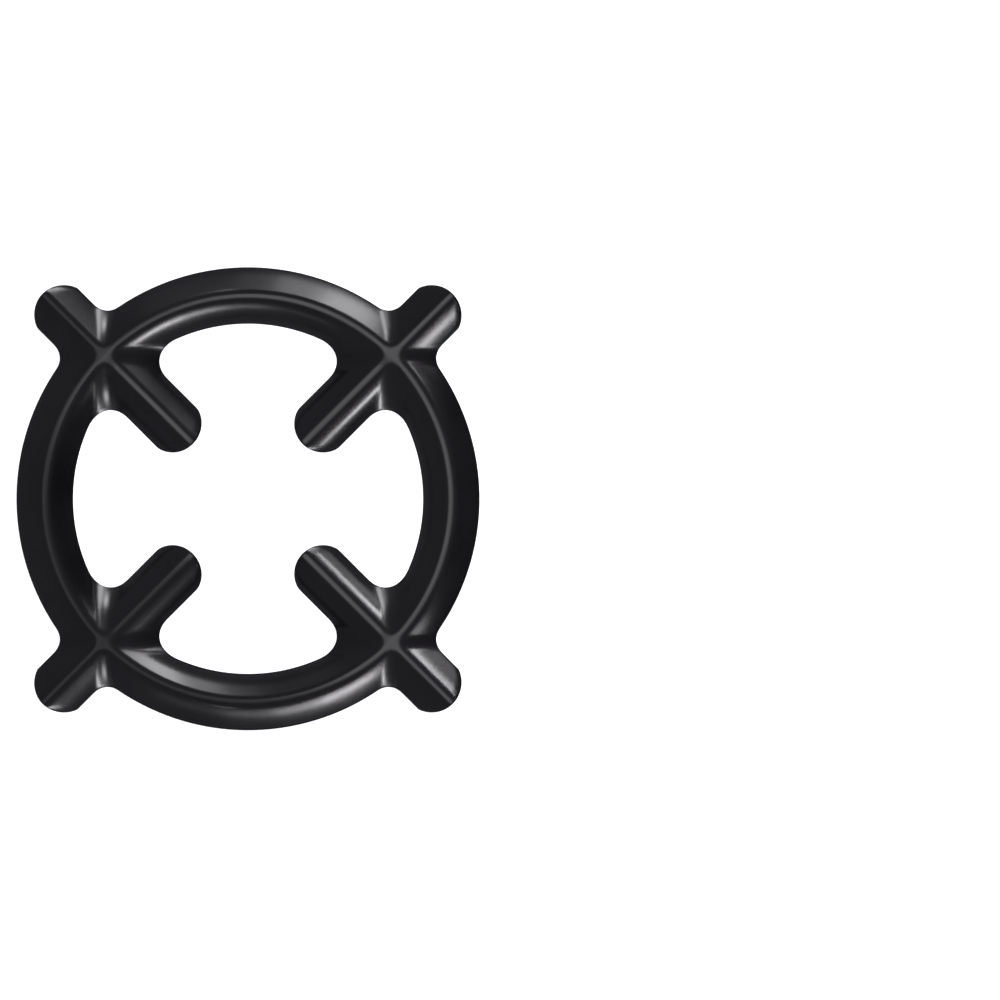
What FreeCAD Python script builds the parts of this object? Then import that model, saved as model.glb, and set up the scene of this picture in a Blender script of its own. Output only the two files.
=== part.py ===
"""Gas hob reducer ring, pressed from one piece of steel sheet.

A ring with four arms that cross it, so that each arm gives a long finger inside
the ring and a short one outside. Ring and arms are one ridge of the same section,
a tent with rounded crest and gently bulged flanks, open underneath. Small pans
stand on the crest, and the whole rests on the lower edges of its flanks.

Millimetres, +Z up. The origin is the middle of the ring, on the surface that it
rests on. The arms lie along X and Y.
"""
import math
import os

import FreeCAD, Part
import Sketcher

SIZES = (
    ("ring_diameter", 130.0),        # outer edge of the ring
    ("strip_width", 16.0),           # ring and arms, edge to edge
    ("ridge_height", 6.2),           # resting surface to crest
    ("sheet_thickness", 1.0),
    ("arm_count", 4),
    ("span_across_tips", 162.6),     # outer tip to opposite outer tip
    ("opening_across_tips", 43.4),   # inner tip to opposite inner tip
    ("crest_flat", 2.2),             # top of the ridge, before its edges are rounded
    ("crest_radius", 2.0),           # of the outer skin
    ("flank_radius", 22.0),          # bulge of the outer skin's flanks
    ("outside_valley_radius", 5.5),  # of the outer skin, arm's flank to ring's, outside
    ("window_valley_radius", 7.0),   # the same, inside the ring
    ("inner_tip_flattening", 0.15),  # tip radius beyond half the strip width
    ("outer_tip_flattening", 0.5),
    ("trim_allowance", 3.0),         # pressed past each tip, then trimmed away
    ("overcut", 1.0),                # the hollow's form runs this far past the skin's
)

NEAR = 1e-4
CREST_LINE = "(Sizes.ring_diameter - Sizes.strip_width) / 2"
INNER_REACH = "Sizes.opening_across_tips / 2"
OUTER_REACH = "Sizes.span_across_tips / 2"


class Skin:
    """The sheet's outer surface, closed underneath so that it is a solid form."""
    name = "skin"
    crest_height = "Sizes.ridge_height"
    outside_valley_radius = "Sizes.outside_valley_radius"
    window_valley_radius = "Sizes.window_valley_radius"
    arm_start = f"{INNER_REACH} - Sizes.trim_allowance"
    arm_length = f"{OUTER_REACH} - {INNER_REACH} + 2 * Sizes.trim_allowance"


class Hollow:
    """The space under the sheet: the skin set in by one thickness."""
    name = "hollow"
    foot_height = "-Sizes.overcut"
    crest_height = "Sizes.ridge_height - Sizes.sheet_thickness"
    flank_radius = "Sizes.flank_radius - Sizes.sheet_thickness"
    outside_valley_radius = "Sizes.outside_valley_radius + Sizes.sheet_thickness"
    window_valley_radius = "Sizes.window_valley_radius + Sizes.sheet_thickness"
    arm_start = f"{Skin.arm_start} - Sizes.overcut"
    arm_length = f"{Skin.arm_length} + 2 * Sizes.overcut"


def make_sheet(doc):
    """The driving dimensions, one aliased cell each."""
    sheet = doc.addObject("Spreadsheet::Sheet", "Sizes")
    for row, (alias, value) in enumerate(SIZES, start=1):
        sheet.set(f"A{row}", alias)
        sheet.set(f"B{row}", str(value))
        sheet.setAlias(f"B{row}", alias)
    doc.recompute()
    return sheet


def origin_feature(body, role):
    """The body's own origin plane or axis with this role."""
    for feature in body.Origin.OriginFeatures:
        if feature.Role == role:
            return feature
    raise RuntimeError(f"no origin feature {role}")


def new_sketch(body, name, role):
    sketch = body.newObject("Sketcher::SketchObject", name)
    sketch.AttachmentSupport = [(origin_feature(body, role), "")]
    sketch.MapMode = "FlatFace"
    return sketch


def bind(sketch, kind, places, name, expression):
    """Adds a dimension and binds it to the sheet; the sketch already has that size."""
    value = float(sketch.evalExpression(expression))
    index = sketch.addConstraint(Sketcher.Constraint(kind, *places, value))
    sketch.renameConstraint(index, name)
    sketch.setExpression(f"Constraints.{name}", expression)


def close_loop(sketch, loop):
    for edge, following in zip(loop, loop[1:] + loop[:1]):
        sketch.addConstraint(Sketcher.Constraint("Coincident", edge, 2, following, 1))


def flank_centre(foot, top, radius):
    """Centre of the arc that rises from foot to top and bulges away from it."""
    chord = top - foot
    inward = FreeCAD.Vector(-chord.y, chord.x, 0).normalize()
    return foot + chord * 0.5 + inward * math.sqrt(radius ** 2 - (chord.Length / 2) ** 2)


def arc_between(centre, start, end):
    """Counter-clockwise arc about centre."""
    first, last = (math.atan2(p.y - centre.y, p.x - centre.x) for p in (start, end))
    circle = Part.Circle(centre, FreeCAD.Vector(0, 0, 1), (start - centre).Length)
    return Part.ArcOfCircle(circle, first, last)


def mirrored(point, middle):
    return FreeCAD.Vector(2 * middle - point.x, point.y, 0)


def add_section(sketch, middle, foot, top, centre, construction):
    """Closed section about the line x = middle: foot line, flank, top line, flank."""
    feet = (mirrored(foot, middle), foot)
    tops = (top, mirrored(top, middle))
    edges = (
        Part.LineSegment(*feet),
        arc_between(centre, foot, top),
        Part.LineSegment(*tops),
        arc_between(mirrored(centre, middle), tops[1], feet[0]),
    )
    loop = [sketch.addGeometry(edge, construction) for edge in edges]
    close_loop(sketch, loop)
    sketch.addConstraint(Sketcher.Constraint("Horizontal", loop[0]))
    sketch.addConstraint(Sketcher.Constraint("Horizontal", loop[2]))
    return loop


def draw_skin_section(sketch, sheet, middle_line, construction=False):
    """The tent: its feet and its flat top are set, and its flanks bulge between."""
    middle = float(sketch.evalExpression(middle_line))
    foot = FreeCAD.Vector(middle + sheet.strip_width / 2, 0, 0)
    top = FreeCAD.Vector(middle + sheet.crest_flat / 2, sheet.ridge_height, 0)
    centre = flank_centre(foot, top, sheet.flank_radius)
    loop = add_section(sketch, middle, foot, top, centre, construction)
    foot_line, outer, top_line, inner = loop

    sketch.addConstraint(Sketcher.Constraint("PointOnObject", foot_line, 1, -1))
    bind(sketch, "DistanceX", (-1, 1, foot_line, 2), "foot",
         f"{middle_line} + Sizes.strip_width / 2")
    bind(sketch, "DistanceX", (foot_line, 1, foot_line, 2), "width", "Sizes.strip_width")
    bind(sketch, "DistanceX", (-1, 1, top_line, 1), "shoulder",
         f"{middle_line} + Sizes.crest_flat / 2")
    bind(sketch, "DistanceX", (top_line, 2, top_line, 1), "flat", "Sizes.crest_flat")
    bind(sketch, "DistanceY", (-1, 1, top_line, 1), "height", Skin.crest_height)
    bind(sketch, "Radius", (outer,), "outer_bulge", "Sizes.flank_radius")
    bind(sketch, "Radius", (inner,), "inner_bulge", "Sizes.flank_radius")
    return middle, centre, loop


def draw_hollow_section(sketch, sheet, middle_line):
    """Flanks about the skin's own centres, one thickness in."""
    middle, centre, skin = draw_skin_section(sketch, sheet, middle_line, True)
    radius = float(sketch.evalExpression(Hollow.flank_radius))
    foot_height = float(sketch.evalExpression(Hollow.foot_height))
    crest_height = float(sketch.evalExpression(Hollow.crest_height))

    def on_flank(height):
        reach = math.sqrt(radius ** 2 - (height - centre.y) ** 2)
        return FreeCAD.Vector(centre.x + reach, height, 0)

    loop = add_section(sketch, middle, on_flank(foot_height), on_flank(crest_height),
                       centre, False)
    foot_line, outer, top_line, inner = loop
    for flank, skin_flank in ((outer, skin[1]), (inner, skin[3])):
        sketch.addConstraint(Sketcher.Constraint("Coincident", flank, 3, skin_flank, 3))
    bind(sketch, "DistanceY", (-1, 1, foot_line, 2), "hollow_foot", Hollow.foot_height)
    bind(sketch, "DistanceY", (-1, 1, top_line, 1), "hollow_height", Hollow.crest_height)
    bind(sketch, "Radius", (outer,), "hollow_outer", Hollow.flank_radius)
    bind(sketch, "Radius", (inner,), "hollow_inner", Hollow.flank_radius)


DRAW = {Skin: draw_skin_section, Hollow: draw_hollow_section}


def add_ring(doc, body, sheet, form):
    """The ring's ridge, turned about the vertical."""
    sketch = new_sketch(body, f"{form.name}_ring_section", "XZ_Plane")
    DRAW[form](sketch, sheet, CREST_LINE)
    ring = body.newObject("PartDesign::Revolution", f"{form.name}_ring")
    ring.Profile = sketch
    ring.ReferenceAxis = (sketch, ["V_Axis"])
    ring.Angle = 360.0
    doc.recompute()


def add_arms(doc, body, sheet, form):
    """One arm's ridge straight across the ring, then the others round the middle."""
    sketch = new_sketch(body, f"{form.name}_arm_section", "YZ_Plane")
    sketch.setExpression(".AttachmentOffset.Base.z", form.arm_start)
    DRAW[form](sketch, sheet, "0")
    arm = body.newObject("PartDesign::Pad", f"{form.name}_arm")
    arm.Profile = sketch
    arm.setExpression("Length", form.arm_length)
    doc.recompute()

    arms = body.newObject("PartDesign::PolarPattern", f"{form.name}_arms")
    arms.Originals = [arm]
    arms.Axis = (origin_feature(body, "Z_Axis"), [""])
    arms.Angle = 360.0
    arms.setExpression("Occurrences", "Sizes.arm_count")
    arms.Refine = True
    body.Tip = arms
    doc.recompute()
    return arms


def names_of(kind, items, wanted):
    return [f"{kind}{i}" for i, item in enumerate(items, start=1) if wanted(item)]


def is_level(edge, height):
    return all(abs(vertex.Z - height) < NEAR for vertex in edge.Vertexes)


def flat_neighbours(shape, edge):
    faces = shape.ancestorsOfType(edge, Part.Face)
    return [face for face in faces if isinstance(face.Surface, Part.Plane)]


def add_fillet(doc, body, base, name, edges, radius):
    fillet = body.newObject("PartDesign::Fillet", name)
    fillet.Base = (base, edges)
    fillet.setExpression("Radius", radius)
    body.Tip = fillet
    doc.recompute()
    return fillet


def round_valleys(doc, body, sheet, base, form, outside):
    """The valleys climb from foot to top between two flanks."""
    crest_line = (sheet.ring_diameter - sheet.strip_width) / 2

    def is_valley(edge):
        climbs = abs(edge.Vertexes[0].Z - edge.Vertexes[-1].Z) > NEAR
        reach = max(math.hypot(vertex.X, vertex.Y) for vertex in edge.Vertexes)
        between_flanks = not flat_neighbours(base.Shape, edge)
        return climbs and between_flanks and (reach > crest_line + sheet.crest_flat) == outside

    edges = names_of("Edge", base.Shape.Edges, is_valley)
    if outside:
        return add_fillet(doc, body, base, f"{form.name}_outside_valleys", edges,
                          form.outside_valley_radius)
    return add_fillet(doc, body, base, f"{form.name}_window_valleys", edges,
                      form.window_valley_radius)


def round_crest(doc, body):
    """Both edges of the skin's flat top, along ring and arms but not across arm ends.

    The hollow's top stays unrounded: its edges turn by so little that rounding them
    would move its surface by a few hundredths.
    """
    base = body.Tip
    height = max(vertex.Z for vertex in base.Shape.Vertexes)

    def is_shoulder(edge):
        return is_level(edge, height) and len(flat_neighbours(base.Shape, edge)) == 1

    edges = names_of("Edge", base.Shape.Edges, is_shoulder)
    add_fillet(doc, body, base, "skin_crest", edges, "Sizes.crest_radius")


def make_form(doc, sheet, label, form):
    """A body of crossing ridges with rounded valleys."""
    body = doc.addObject("PartDesign::Body", label)
    body.Label = label
    add_ring(doc, body, sheet, form)
    arms = add_arms(doc, body, sheet, form)
    outside = round_valleys(doc, body, sheet, arms, form, True)
    round_valleys(doc, body, sheet, outside, form, False)
    return body


def cut_hollow(doc, body, hollow):
    cut = body.newObject("PartDesign::Boolean", "open_underside")
    cut.Type = "Cut"
    cut.setObjects([hollow])
    body.Tip = cut
    doc.recompute()


def draw_waste(sketch, name, reach_line, flattening, outward):
    """What is trimmed from an arm's end: all beyond an arc that bulges outward."""
    reach = float(sketch.evalExpression(reach_line))
    tip_radius_line = f"Sizes.strip_width / 2 + {flattening}"
    radius = float(sketch.evalExpression(tip_radius_line))
    allowance = float(sketch.evalExpression("Sizes.trim_allowance"))
    centre = FreeCAD.Vector(reach - outward * radius, 0, 0)
    side = FreeCAD.Vector(0, outward * radius, 0)
    low, high = centre - side, centre + side
    edge_x = reach + outward * 2 * allowance
    corner_y = outward * (radius + allowance)
    low_step = FreeCAD.Vector(centre.x, -corner_y, 0)
    low_corner = FreeCAD.Vector(edge_x, -corner_y, 0)
    high_corner = FreeCAD.Vector(edge_x, corner_y, 0)
    high_step = FreeCAD.Vector(centre.x, corner_y, 0)
    arc = sketch.addGeometry(arc_between(centre, low, high))
    points = (high, high_step, high_corner, low_corner, low_step, low)
    lines = [sketch.addGeometry(Part.LineSegment(a, b)) for a, b in zip(points, points[1:])]
    close_loop(sketch, [arc] + lines)
    for line, direction in ((0, "Vertical"), (1, "Horizontal"), (3, "Horizontal"),
                            (4, "Vertical")):
        sketch.addConstraint(Sketcher.Constraint(direction, lines[line]))
    sketch.addConstraint(Sketcher.Constraint("PointOnObject", arc, 3, -1))
    sketch.addConstraint(Sketcher.Constraint("Vertical", arc, 3, arc, 1))
    sketch.addConstraint(Sketcher.Constraint("Vertical", arc, 3, arc, 2))
    sketch.addConstraint(Sketcher.Constraint("Symmetric", lines[2], 1, lines[2], 2, -1))
    bind(sketch, "Radius", (arc,), f"{name}_radius", tip_radius_line)
    sign = "+" if outward > 0 else "-"
    opposite = "-" if outward > 0 else "+"
    bind(sketch, "DistanceX", (-1, 1, arc, 3), f"{name}_centre",
         f"{reach_line} {opposite} ({tip_radius_line})")
    bind(sketch, "DistanceX", (-1, 1, lines[2], 1), f"{name}_waste",
         f"{reach_line} {sign} 2 * Sizes.trim_allowance")
    bind(sketch, "Distance", (lines[0],), f"{name}_beside", "Sizes.trim_allowance")


def trim_tips(doc, body):
    """Cuts both ends of every arm to their round outline."""
    before = body.Shape.Volume
    sketch = new_sketch(body, "tip_waste", "XY_Plane")
    draw_waste(sketch, "outer_tip", OUTER_REACH, "Sizes.outer_tip_flattening", 1)
    draw_waste(sketch, "inner_tip", INNER_REACH, "Sizes.inner_tip_flattening", -1)
    trim = body.newObject("PartDesign::Pocket", "tip_trim")
    trim.Profile = sketch
    trim.Type = "ThroughAll"
    trim.Reversed = True
    doc.recompute()
    tips = body.newObject("PartDesign::PolarPattern", "tips")
    tips.Originals = [trim]
    tips.Axis = (origin_feature(body, "Z_Axis"), [""])
    tips.Angle = 360.0
    tips.setExpression("Occurrences", "Sizes.arm_count")
    body.Tip = tips
    doc.recompute()
    if body.Shape.Volume >= before:
        raise RuntimeError("the tips were not trimmed")


def check(doc, bodies):
    """Stops where a feature failed or a piece isn't one sound solid."""
    for item in doc.Objects:
        if any(state in ("Invalid", "Error") for state in item.State):
            raise RuntimeError(f"{item.Name} failed: {item.State}")
    for body in bodies:
        if body.Shape.isNull() or not body.Shape.isValid():
            raise RuntimeError(f"{body.Label} has no valid shape")
        if len(body.Shape.Solids) != 1:
            raise RuntimeError(f"{body.Label} is {len(body.Shape.Solids)} solids")


def main():
    doc = FreeCAD.newDocument("gas_hob_reducer_ring")
    sheet = make_sheet(doc)
    hollow = make_form(doc, sheet, "hollow", Hollow)
    ring = make_form(doc, sheet, "reducer_ring", Skin)
    round_crest(doc, ring)
    cut_hollow(doc, ring, hollow)
    trim_tips(doc, ring)
    check(doc, [ring])

    os.makedirs("parts", exist_ok=True)
    ring.Shape.exportStep(f"parts/{ring.Label}.step")
    shape = ring.Shape
    print(f"{ring.Label}: {len(shape.Faces)} faces, {shape.Volume:.0f} mm3,"
          f" {shape.Area:.0f} mm2")


main()
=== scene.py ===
"""Gas hob reducer ring, seen and lit as in the photograph.

The CAD node is replaced by a finer mesh of the same pressing, because its smooth
enamel shows every facet. The mesh is worked out in millimetres from the sizes below,
in the frame's own axes: the arms lie along X and Y, and the ring rests on z = 0.
"""
import math

import bmesh
import bpy
import numpy as np
from mathutils import Matrix, Vector


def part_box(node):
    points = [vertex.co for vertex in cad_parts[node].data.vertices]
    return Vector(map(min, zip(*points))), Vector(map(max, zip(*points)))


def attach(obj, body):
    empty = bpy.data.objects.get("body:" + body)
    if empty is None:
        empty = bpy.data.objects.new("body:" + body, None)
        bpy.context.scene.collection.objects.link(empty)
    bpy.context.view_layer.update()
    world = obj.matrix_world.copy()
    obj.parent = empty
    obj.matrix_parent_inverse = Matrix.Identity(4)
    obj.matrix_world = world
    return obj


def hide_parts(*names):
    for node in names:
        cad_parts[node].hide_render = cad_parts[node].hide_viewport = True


MM = 0.001
NODE = "reducer_ring"
PIECE = "enamelled_ring"

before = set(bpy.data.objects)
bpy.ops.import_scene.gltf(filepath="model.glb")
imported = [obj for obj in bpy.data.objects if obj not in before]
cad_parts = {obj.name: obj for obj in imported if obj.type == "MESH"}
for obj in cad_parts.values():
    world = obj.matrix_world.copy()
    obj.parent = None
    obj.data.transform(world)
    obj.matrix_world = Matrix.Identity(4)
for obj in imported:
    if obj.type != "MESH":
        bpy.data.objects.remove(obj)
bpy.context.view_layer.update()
box_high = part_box(NODE)[1]

# The pressing, in millimetres
TIP_REACH = box_high.x / MM      # middle of the ring to an outer tip
RIDGE_HEIGHT = box_high.z / MM
RING_RADIUS = 65.0               # of the outer edge
HALF_STRIP = 8.0                 # half the width of ring and arms
SHEET = 1.0                      # thickness, with the enamel
CREST_HALF_FLAT = 1.1            # half the top of the ridge, before it is rounded
CREST_RADIUS = 3.9               # wider than the solid's, to show the enamel's softness
WINDOW_FLANK_RADIUS = 19.0       # bulge of the flanks inside the ring's crest
OUTSIDE_FLANK_RADIUS = 35.0      # bulge of the flanks outside it
OUTSIDE_EDGE_HEIGHT = 1.2        # of the upper skin, where the outside edge is cut
CROSSING_VALLEY_RADIUS = 5.0     # of all valleys, at the height of the crests
OUTSIDE_VALLEY_RADIUS = 8.1      # of the valleys outside the ring's crest, at the ground
WINDOW_VALLEY_RADIUS = 8.0       # of the valleys inside it, at the ground
INNER_ARM_DROP = 0.45            # how far the inner arms' crests lie under the ring's
DROP_LENGTH = 5.6                # from the ring's crest to where the drop is complete
DROP_WIDTH = 6.0                 # from an arm's crest to where the drop fades to a third
TIP_FLATTENING = 0.3             # how far the flanks sink at the tips, halfway down
FLATTENING_LENGTH = 2.5          # from a tip to where the flanks have their full bulge
WINDOW_REACH = 21.7              # middle of the ring to an inner tip
INNER_TIP_RADIUS = 8.15          # in plan
OUTER_TIP_RADIUS = 8.5
EDGE_ROUNDING = 0.25             # of the sheet's cut edges, under the coat
CREST_LINE = RING_RADIUS - HALF_STRIP

# The grid of the mesh
SECTOR = math.pi / 4             # one eighth of the ring is modelled and repeated
QUARTERS = 4
STEP_ALONG = 0.7                 # millimetres from column to column
TIP_COLUMNS = 14
ROWS = 20                        # from the crest to where the edge is rounded
ROW_CROWDING = 0.35              # 0 spaces rows evenly, 1 crowds them at the crest
EDGE_POINTS = 12                 # round the cut edge, from skin to skin
SMOOTHING_POINTS = 7             # that a point of the rounded edge is the mean of
WINDOW_CORNER = 4.5              # rough radius of the outline's corners, in plan
OUTSIDE_CORNER = 3.9
BEYOND = 2 * HALF_STRIP          # from the crest to a place that is off the sheet
BISECTIONS = 40
TINY = 1e-9                      # keeps a divisor off zero
MERGE = 1e-6                     # metres, between points that are made one

# The enamel
ENAMEL_DARK = (0.0045, 0.0043, 0.0052)
ENAMEL_PALE = (0.0070, 0.0067, 0.0081)
ENAMEL_ROUGHNESS = (0.19, 0.225)
ENAMEL_IOR = 1.5
CLOUD_SCALE = 55                 # noise cells in a metre
CLOUD_DETAIL = 3
CLOUD_RANGE = (0.35, 0.65)       # of the noise, from dark to pale
PEEL_SCALE = 620
PEEL_DETAIL = 1
PEEL_DEPTH = 0.000004            # metres

# The photograph: straight from above, with the arms on its diagonals
PHOTO_PIXELS = 1000
RING_X_PIXEL = 248.1             # middle of the ring
RING_Y_PIXEL = 498.8
RING_PIXELS = 463.1              # diameter of the ring
MM_PER_PIXEL = 2 * RING_RADIUS / RING_PIXELS
PHOTO_TURN = math.pi / 4         # from the frame's axes to the photograph's
FROM_PHOTO = Matrix.Rotation(-PHOTO_TURN, 3, "Z")
CAMERA_HEIGHT = 3.0              # metres

# The floor, the room and the lamps, in metres and degrees
WHITE = (1, 1, 1, 1)
FLOOR_REACH = 12.0
FLOOR_GLOW = 1.0
FLOOR_COLOUR = (0.9, 0.9, 0.9)
FLOOR_ROUGHNESS = 1.0
ROOM_COLOUR = (0.97, 0.94, 1.07)
ROOM_STRENGTH = 0.22
RIGHT_STRENGTH = 0.02            # of the room on the photograph's right
RIGHT_SIDE = (0.5, 1.0)          # cosines of the angle off the right: dimming starts, ends
LAMP_COLOUR = (0.98, 0.97, 1.0)
LAMP_DISTANCE = 2.5
NO_GRID = 180
LAMPS = (
    # Name, azimuth and zenith angle, width and height, glow.
    ("lamp_overhead", 150, 7, (0.8, 0.8), 0.65),
    ("lamp_top_right", 62.5, 66, (0.64, 1.22), 9.4),
    ("lamp_top", 76.5, 66, (0.56, 1.22), 3.3),
    ("lamp_top_left", 88, 66, (0.50, 1.22), 0.7),
    ("lamp_top_far_left", 106, 66, (1.10, 1.22), 0.15),
    ("lamp_bottom_right", 297.5, 68, (0.70, 0.18), 30.0),
    ("lamp_bottom", 284, 68, (0.60, 0.18), 14.0),
    ("lamp_bottom_left", 270, 68, (0.60, 0.18), 3.8),
    ("lamp_bottom_far_left", 253, 68, (0.80, 0.18), 0.7),
)
GRID_LAMPS = (
    # The same, then the distance, the angle that the lamp's grid lets through and the
    # place that it faces, right and up in the photograph from the middle of the ring.
    ("lamp_overhead_right", 0, 0, (0.15, 0.22), 2.0, 0.12, 44, (0.075, 0.0)),
    ("strip_right_low", 315, 69, (0.068, 0.030), 42.0, 0.35, 18, (0.038, 0.038)),
    ("strip_right_high", 45, 62, (0.068, 0.030), 46.0, 0.35, 18, (0.038, -0.038)),
    ("strip_right_fill", 45, 78, (0.068, 0.12), 4.6, 0.35, 18, (0.038, -0.038)),
)
SPOT_ZENITH = 54
SPOT_SIZE = (0.05, 0.014)
SPOT_GLOW = 20.0
SPOT_DISTANCE = 0.1
SPOT_GRID = 22
SPOTS = (
    # Name, azimuth and the place that it faces: one of the valleys on the left.
    ("spot_top_left_high", 86, (-0.0405, 0.0480)),
    ("spot_top_left_low", 274, (-0.0399, 0.0345)),
    ("spot_bottom_left_high", 86, (-0.0410, -0.0330)),
    ("spot_bottom_left_low", 274, (-0.0407, -0.0470)),
)


def flank_arc(radius, foot_height):
    """Middle of a flank's arc, out from the crest's line and up, and its radius."""
    foot = np.array([HALF_STRIP, foot_height])
    top = np.array([CREST_HALF_FLAT, RIDGE_HEIGHT])
    chord = top - foot
    length = np.linalg.norm(chord)
    inward = np.array([-chord[1], chord[0]]) / length
    middle = (foot + top) / 2 + inward * math.sqrt(radius ** 2 - (length / 2) ** 2)
    return middle[0], middle[1], radius


WINDOW_FLANK = flank_arc(WINDOW_FLANK_RADIUS, 0.0)
OUTSIDE_FLANK = flank_arc(OUTSIDE_FLANK_RADIUS, OUTSIDE_EDGE_HEIGHT)


def flank(reach, z, arc):
    """Distance outside a flank, and the sine and cosine of its slope there."""
    out = reach - arc[0]
    up = z - arc[1]
    far = np.hypot(out, up)
    return far - arc[2], out / far, up / far


def rolled(a, b, lean):
    """Distance from the centre of a ball that touches two faces.

    a and b are the depths below the centre's two parallel planes, and lean is the
    cosine between the faces' normals.
    """
    squared = (a * a + b * b - 2 * a * b * lean) / (1 - lean * lean)
    return np.sqrt(np.maximum(squared, 0.0))


def outside_by(x, y, z):
    """Distance outside the pressing's upper skin, in the sector beside the +X arm."""
    radius = np.hypot(x, y)
    is_outside = radius > CREST_LINE
    arc = np.where(is_outside[..., None], OUTSIDE_FLANK, WINDOW_FLANK)
    arc = np.moveaxis(arc, -1, 0)
    ring, ring_sin, ring_cos = flank(np.abs(radius - CREST_LINE), z, arc)
    arm, arm_sin, arm_cos = flank(np.abs(y), z, arc)

    # A valley is a ball rolled between the ring's flank and the arm's.
    facing = np.where(is_outside, y, -y) / radius
    lean = facing * ring_sin * arm_sin + ring_cos * arm_cos
    foot_ball = np.where(is_outside, OUTSIDE_VALLEY_RADIUS, WINDOW_VALLEY_RADIUS)
    risen = np.clip(z / RIDGE_HEIGHT, 0, 1)
    ball = foot_ball + (CROSSING_VALLEY_RADIUS - foot_ball) * risen
    a, b = ball - ring, ball - arm
    in_valley = (a > lean * b) & (b > lean * a)
    reach = rolled(a, b, lean)
    ridges = np.where(in_valley, ball - reach, np.minimum(ring, arm))
    valley_cos = (a - lean * b) * ring_cos + (b - lean * a) * arm_cos
    valley_cos = valley_cos / np.maximum((1 - lean * lean) * reach, TINY)
    slope_cos = np.where(in_valley, valley_cos, np.where(arm < ring, arm_cos, ring_cos))
    slope_cos = np.clip(slope_cos, -1, 1)

    # The crest is a ball that touches flanks and level top from below.
    above = z - RIDGE_HEIGHT
    a, b = CREST_RADIUS + ridges, CREST_RADIUS + above
    at_edge = (a > slope_cos * b) & (b > slope_cos * a)
    return np.where(at_edge, rolled(a, b, slope_cos) - CREST_RADIUS,
                    np.maximum(ridges, above))


def bisect(is_beyond, low, high):
    """The place between low and high where is_beyond turns true, for each element."""
    for _ in range(BISECTIONS):
        middle = (low + high) / 2
        beyond = is_beyond(middle)
        low = np.where(beyond, low, middle)
        high = np.where(beyond, middle, high)
    return (low + high) / 2


def eased(share):
    """0 to 1, with a level start and end."""
    return share ** 2 * (3 - 2 * share)


def tip_bulge(y, radius):
    """How far a round tip reaches past its middle, this far from the arm's axis."""
    return np.sqrt(np.maximum(radius ** 2 - y ** 2, 0))


def settled(x, y, z):
    """The height after the inner arms' drop and the flattening of the tips."""
    inward = np.clip((CREST_LINE - np.hypot(x, y)) / DROP_LENGTH, 0, 1)
    drop = eased(inward) * np.exp(-(y / DROP_WIDTH) ** 2)
    z = z * (1 - drop * INNER_ARM_DROP / RIDGE_HEIGHT)
    inner_end = WINDOW_REACH + INNER_TIP_RADIUS - tip_bulge(y, INNER_TIP_RADIUS)
    outer_end = TIP_REACH - OUTER_TIP_RADIUS + tip_bulge(y, OUTER_TIP_RADIUS)
    from_end = np.minimum(np.abs(x - inner_end), np.abs(x - outer_end))
    sink = TIP_FLATTENING * np.clip(1 - from_end / FLATTENING_LENGTH, 0, 1) ** 2
    risen = np.clip(z / RIDGE_HEIGHT, 0, 1)
    # The parabola is 0 at the foot and at the crest, and 1 halfway.
    return z - sink * 4 * risen * (1 - risen)


def height(x, y, depth):
    """Height of the surface that lies this deep in the sheet; 0 is the upper skin."""
    high = np.full(np.shape(x), 2 * RIDGE_HEIGHT)
    skin = bisect(lambda z: outside_by(x, y, z) > -depth, -high, high)
    return settled(x, y, skin)


def foot_share(start, end, depth, level=0.0):
    """How far along each line from start to end the surface comes down to a level."""
    def is_beyond(share):
        point = start + (end - start) * share[:, None]
        return outside_by(point[:, 0], point[:, 1], level) > -depth

    count = len(start)
    return bisect(is_beyond, np.zeros(count), np.ones(count))


def steps(start, end):
    """Even places from start to end, without the last."""
    count = max(2, math.ceil(abs(end - start) / STEP_ALONG))
    return np.linspace(start, end, count, endpoint=False)


def tip_shares(first):
    """Places of the tip's columns, from its apex to its middle."""
    return np.concatenate([[0.0], np.linspace(first, 1, TIP_COLUMNS, endpoint=False)])


def valley_middle(edge_radius, plan_radius, outward):
    """The point in plan that the lines across a valley aim at."""
    far = edge_radius + outward * plan_radius
    side = HALF_STRIP + plan_radius
    return np.array([math.sqrt(far ** 2 - side ** 2), side])


def underside(upper):
    """The upper skin's grid, lowered to the underside of the sheet or to the ground."""
    x, y = upper[..., 0], upper[..., 1]
    z = np.maximum(height(x, y, SHEET), 0.0)
    return np.stack([x, y, z], axis=-1)


def before_edge(grid):
    """The line on a skin where the edge's rounding begins, round the tip and along."""
    return np.concatenate([grid[1, :-1], grid[2:, -2]])


def on_edge(grid):
    """The edge itself, point for point beside the line that before_edge gives."""
    return np.concatenate([grid[0, :-2], grid[0, -1:], grid[2:, -1]])


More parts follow.
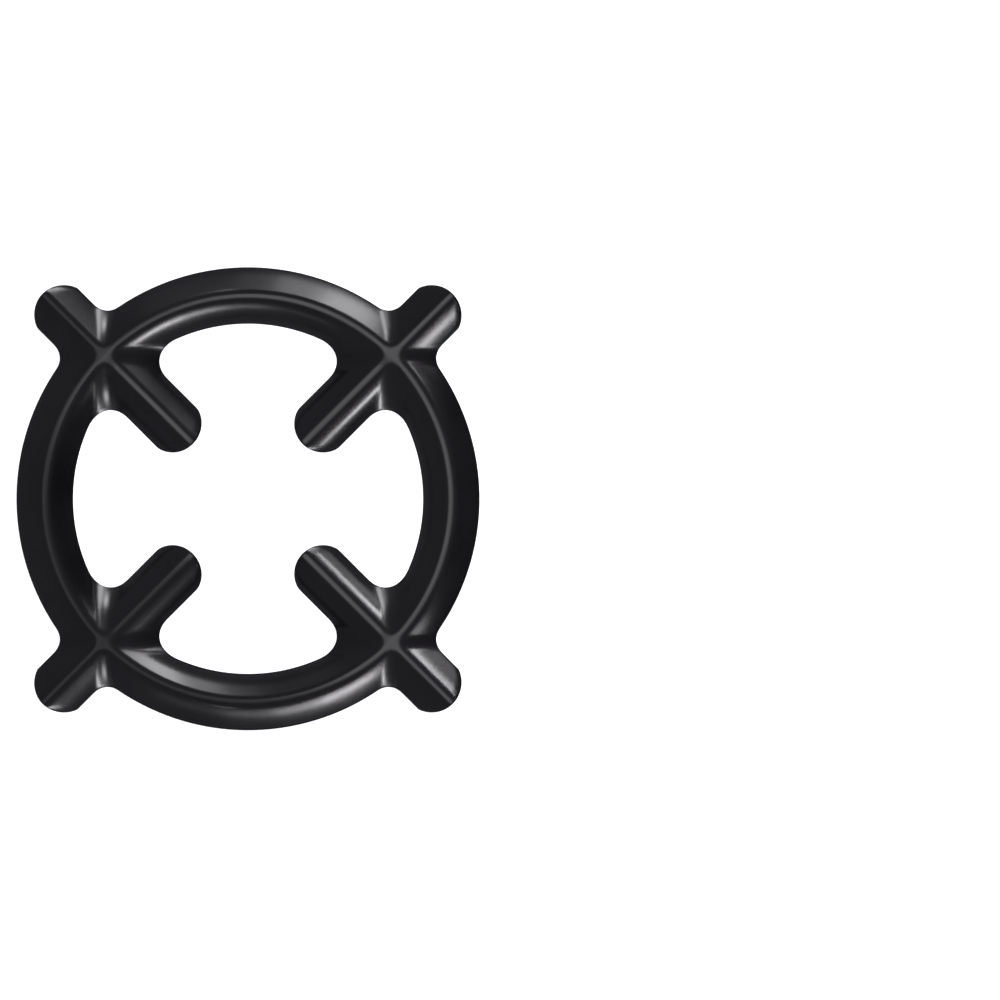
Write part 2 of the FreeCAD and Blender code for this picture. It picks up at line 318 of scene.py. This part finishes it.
def rounded(corners):
    """Grid of points along a line through the corners, each corner rounded.

    A point is the mean of the line's points up to a rounding before and after it, and
    the first and last points stay where they are, on the skins.
    """
    legs = [after - before for before, after in zip(corners, corners[1:])]
    lengths = [np.linalg.norm(leg, axis=1) for leg in legs]
    starts = np.cumsum([np.zeros(len(lengths[0]))] + lengths, axis=0)

    def along(place):
        point = corners[0]
        for i, (leg, length) in enumerate(zip(legs, lengths)):
            low = -np.inf if i == 0 else 0.0
            high = np.inf if i == len(legs) - 1 else length
            covered = np.clip(place - starts[i], low, high)
            point = point + leg * (covered / np.maximum(length, TINY))[:, None]
        return point

    spread = np.linspace(-EDGE_ROUNDING, EDGE_ROUNDING, SMOOTHING_POINTS)
    grid = [np.mean([along(share * starts[-1] + shift) for shift in spread], axis=0)
            for share in np.linspace(0, 1, EDGE_POINTS)]
    grid[0], grid[-1] = corners[0], corners[-1]
    return np.stack(grid, axis=1)


class Band:
    """The strip from crest to outline on one side of the ring's crest, in one sector.

    Columns cross it from the crest to the outline. The first ones lie in the arm's
    tip, and the last is in the middle between two arms. outward is 1 outside the
    ring's crest and -1 inside, apex is the arm's end, and valley is the point that
    the lines across the valley aim at.
    """

    def __init__(self, outward, apex, tip_radius, valley, edge_height, azimuths):
        self.outward = outward
        self.tip_radius = tip_radius
        self.tip_middle = apex - outward * tip_radius
        self.tip_share = tip_shares(EDGE_ROUNDING / tip_radius)
        self.tip_columns = len(self.tip_share)
        tip = apex - outward * tip_radius * self.tip_share
        straight = steps(self.tip_middle, valley[0])
        fan = steps(valley[0], CREST_LINE)
        arm = np.concatenate([tip, straight, fan])
        arm = np.stack([arm, np.zeros(len(arm))], axis=1)
        ring = CREST_LINE * np.stack([np.cos(azimuths), np.sin(azimuths)], axis=1)
        self.crest = np.concatenate([arm, ring])

        # Columns cross the arm straight, aim at the valley beside it, and cross the
        # ring straight past it.
        aim = self.crest + np.array([0.0, BEYOND])
        aim[len(tip) + len(straight):] = valley
        past_valley = azimuths > math.atan2(valley[1], valley[0])
        away = 1 + outward * BEYOND / CREST_LINE
        aim[len(arm):][past_valley] = ring[past_valley] * away
        share = foot_share(self.crest, aim, 0.0, edge_height)
        self.outline = self.crest + (aim - self.crest) * share[:, None]
        self.outline[:self.tip_columns] = self.on_tip(SECTOR * (1 + self.tip_share))

    def on_tip(self, angles):
        """Points of the tip's round outline, from 0 at its apex to a quarter turn."""
        x = self.tip_middle + self.outward * self.tip_radius * np.cos(angles)
        y = np.minimum(self.tip_radius * np.sin(angles), HALF_STRIP)
        return np.stack([x, y], axis=1)

    def surface(self, depth):
        """Grid of points this deep in the sheet, by column and row.

        The last row is the outline, and the one before it and the second column are
        where the rounding of the cut edge begins. The first column is bent to the
        first half of the tip's round outline, and those after it less and less.
        """
        end = self.outline
        share = foot_share(self.crest, end, depth)
        end = self.crest + (end - self.crest) * share[:, None]
        length = np.linalg.norm(end - self.crest, axis=1)
        across = np.linspace(0, 1, ROWS)
        across = across * (1 - ROW_CROWDING) + across ** 2 * ROW_CROWDING
        across = across[None, :] * (1 - EDGE_ROUNDING / length[:, None])
        across = np.concatenate([across, np.ones((len(length), 1))], axis=1)[..., None]
        grid = self.crest[:, None] * (1 - across) + end[:, None] * across

        bend = self.on_tip(across[0, :, 0] * SECTOR) - grid[0]
        grid[:self.tip_columns] += bend * (1 - self.tip_share)[:, None, None]
        z = np.maximum(height(grid[..., 0], grid[..., 1], depth), 0.0)
        return np.concatenate([grid, z[..., None]], axis=-1)

    def patches(self):
        """Upper skin, under skin and the cut edge between them."""
        upper, under = self.surface(0.0), self.surface(SHEET)
        corners = [before_edge(upper), on_edge(upper), on_edge(underside(upper)),
                   on_edge(under), before_edge(under)]
        return [upper[1:, :-1], under[1:, :-1], rounded(corners)]


def turned(grid, quarter):
    """The grid turned about Z by this many quarter turns, with no rounding error."""
    for _ in range(quarter):
        grid = np.stack([-grid[..., 1], grid[..., 0], grid[..., 2]], axis=-1)
    return grid


def add_patch(mesh, grid):
    """Adds a grid of points to the mesh as quads."""
    columns, rows = grid.shape[:2]
    verts = [mesh.verts.new(Vector(point) * MM) for point in grid.reshape(-1, 3)]
    for i in range(columns - 1):
        for j in range(rows - 1):
            a = i * rows + j
            mesh.faces.new([verts[k] for k in (a, a + rows, a + rows + 1, a + 1)])


def make_ring():
    """The whole pressing as one closed mesh."""
    count = math.ceil(CREST_LINE * SECTOR / STEP_ALONG)
    azimuths = np.linspace(0, SECTOR, count + 1)
    window_valley = valley_middle(RING_RADIUS - 2 * HALF_STRIP, WINDOW_CORNER, -1)
    outside_valley = valley_middle(RING_RADIUS, OUTSIDE_CORNER, 1)
    bands = (
        Band(-1, WINDOW_REACH, INNER_TIP_RADIUS, window_valley, 0.0, azimuths),
        Band(1, TIP_REACH, OUTER_TIP_RADIUS, outside_valley, OUTSIDE_EDGE_HEIGHT,
             azimuths),
    )
    sector = [patch for band in bands for patch in band.patches()]
    mesh = bmesh.new()
    for quarter in range(QUARTERS):
        for side in (1, -1):
            for patch in sector:
                add_patch(mesh, turned(patch * np.array([1, side, 1]), quarter))
    bmesh.ops.remove_doubles(mesh, verts=mesh.verts, dist=MERGE)
    bmesh.ops.recalc_face_normals(mesh, faces=mesh.faces)
    for face in mesh.faces:
        face.smooth = True
    data = bpy.data.meshes.new(PIECE)
    mesh.to_mesh(data)
    mesh.free()
    ring = bpy.data.objects.new(PIECE, data)
    bpy.context.scene.collection.objects.link(ring)
    return ring


def noise(tree, place, scale, detail):
    """Output of a noise texture over a place."""
    texture = tree.nodes.new("ShaderNodeTexNoise")
    texture.inputs["Scale"].default_value = scale
    texture.inputs["Detail"].default_value = detail
    tree.links.new(place, texture.inputs["Vector"])
    return texture.outputs["Fac"]


def map_range(tree, value, start, end):
    """Node that takes a value from one range, start, to another, end."""
    node = tree.nodes.new("ShaderNodeMapRange")
    names = ("From Min", "From Max", "To Min", "To Max")
    for name, number in zip(names, (*start, *end)):
        node.inputs[name].default_value = number
    tree.links.new(value, node.inputs["Value"])
    return node


def enamel():
    """Semi-gloss black enamel: smooth, hardly coloured, with a faint orange peel."""
    material = bpy.data.materials.new("black_enamel")
    material.use_nodes = True
    tree = material.node_tree
    nodes, links = tree.nodes, tree.links
    shader = nodes["Principled BSDF"]
    shader.inputs["IOR"].default_value = ENAMEL_IOR
    place = nodes.new("ShaderNodeTexCoord").outputs["Object"]

    clouds = noise(tree, place, CLOUD_SCALE, CLOUD_DETAIL)
    colour = nodes.new("ShaderNodeValToRGB")
    shades = zip(colour.color_ramp.elements, CLOUD_RANGE, (ENAMEL_DARK, ENAMEL_PALE))
    for element, position, shade in shades:
        element.position = position
        element.color = (*shade, 1)
    links.new(clouds, colour.inputs["Fac"])
    links.new(colour.outputs["Color"], shader.inputs["Base Color"])
    dullness = map_range(tree, clouds, CLOUD_RANGE, ENAMEL_ROUGHNESS)
    links.new(dullness.outputs["Result"], shader.inputs["Roughness"])

    peel = noise(tree, place, PEEL_SCALE, PEEL_DETAIL)
    bump = nodes.new("ShaderNodeBump")
    bump.inputs["Distance"].default_value = PEEL_DEPTH
    links.new(peel, bump.inputs["Height"])
    links.new(bump.outputs["Normal"], shader.inputs["Normal"])
    return material


def add_light(name, azimuth, zenith, size, glow, distance=LAMP_DISTANCE, grid=NO_GRID,
              aim=(0, 0)):
    """Rectangular soft light that faces the ring; its azimuth is the photograph's."""
    turn = math.radians(azimuth) - PHOTO_TURN
    lean = math.radians(zenith)
    away = Vector((math.sin(lean) * math.cos(turn), math.sin(lean) * math.sin(turn),
                   math.cos(lean)))
    data = bpy.data.lights.new(name, "AREA")
    data.shape = "RECTANGLE"
    data.size, data.size_y = size
    half = math.radians(grid) / 2
    data.spread = 2 * half
    data.energy = glow * math.pi * size[0] * size[1] * (1 - half / math.tan(half))
    data.color = LAMP_COLOUR
    light = bpy.data.objects.new(name, data)
    light.location = FROM_PHOTO @ Vector((*aim, 0)) + away * distance
    light.rotation_mode = "QUATERNION"
    light.rotation_quaternion = away.to_track_quat("Z", "Y")
    light.visible_camera = False
    bpy.context.scene.collection.objects.link(light)


def add_camera():
    """Straight above, turned so that the arms lie as in the photograph."""
    data = bpy.data.cameras.new("camera")
    width = PHOTO_PIXELS * MM_PER_PIXEL * MM
    data.lens = data.sensor_width * CAMERA_HEIGHT / width
    data.clip_end = 2 * CAMERA_HEIGHT
    camera = bpy.data.objects.new("camera", data)
    middle = PHOTO_PIXELS / 2
    aside = FROM_PHOTO @ Vector((middle - RING_X_PIXEL, RING_Y_PIXEL - middle, 0))
    camera.location = aside * MM_PER_PIXEL * MM + Vector((0, 0, CAMERA_HEIGHT))
    camera.rotation_euler.z = -PHOTO_TURN
    bpy.context.scene.collection.objects.link(camera)
    bpy.context.scene.camera = camera


def add_floor():
    """Pale floor, bright enough that the lamps leave no shadow on it."""
    data = bpy.data.meshes.new("floor")
    signs = ((-1, -1), (1, -1), (1, 1), (-1, 1))
    corners = [(x * FLOOR_REACH, y * FLOOR_REACH, 0) for x, y in signs]
    data.from_pydata(corners, [], [(0, 1, 2, 3)])
    floor = bpy.data.objects.new("floor", data)
    material = bpy.data.materials.new("white_table")
    material.use_nodes = True
    shader = material.node_tree.nodes["Principled BSDF"]
    shader.inputs["Base Color"].default_value = (*FLOOR_COLOUR, 1)
    shader.inputs["Roughness"].default_value = FLOOR_ROUGHNESS
    shader.inputs["Emission Color"].default_value = WHITE
    shader.inputs["Emission Strength"].default_value = FLOOR_GLOW
    data.materials.append(material)
    floor.visible_glossy = False
    floor.visible_shadow = False
    bpy.context.scene.collection.objects.link(floor)


def set_world():
    """A white surround for the camera, and a room that is dimmest on the right."""
    world = bpy.data.worlds.new("studio")
    world.use_nodes = True
    bpy.context.scene.world = world
    tree = world.node_tree
    nodes, links = tree.nodes, tree.links
    room = nodes["Background"]
    room.inputs["Color"].default_value = (*ROOM_COLOUR, 1)
    facing = nodes.new("ShaderNodeVectorMath")
    facing.operation = "DOT_PRODUCT"
    facing.inputs[1].default_value = FROM_PHOTO @ Vector((1, 0, 0))
    links.new(nodes.new("ShaderNodeTexCoord").outputs["Generated"], facing.inputs[0])
    strengths = (ROOM_STRENGTH, RIGHT_STRENGTH)
    dim = map_range(tree, facing.outputs["Value"], RIGHT_SIDE, strengths)
    dim.interpolation_type = "SMOOTHSTEP"
    links.new(dim.outputs["Result"], room.inputs["Strength"])

    surround = nodes.new("ShaderNodeBackground")
    surround.inputs["Color"].default_value = WHITE
    path = nodes.new("ShaderNodeLightPath")
    mix = nodes.new("ShaderNodeMixShader")
    links.new(path.outputs["Is Camera Ray"], mix.inputs["Fac"])
    links.new(room.outputs["Background"], mix.inputs[1])
    links.new(surround.outputs["Background"], mix.inputs[2])
    links.new(mix.outputs["Shader"], nodes["World Output"].inputs["Surface"])


ring = make_ring()
ring.data.materials.append(enamel())
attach(ring, "root")
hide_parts(NODE)

add_floor()
set_world()
for lamp in LAMPS + GRID_LAMPS:
    add_light(*lamp)
for name, azimuth, aim in SPOTS:
    add_light(name, azimuth, SPOT_ZENITH, SPOT_SIZE, SPOT_GLOW, SPOT_DISTANCE, SPOT_GRID,
              aim)
add_camera()
bpy.context.scene.view_settings.view_transform = "Standard"
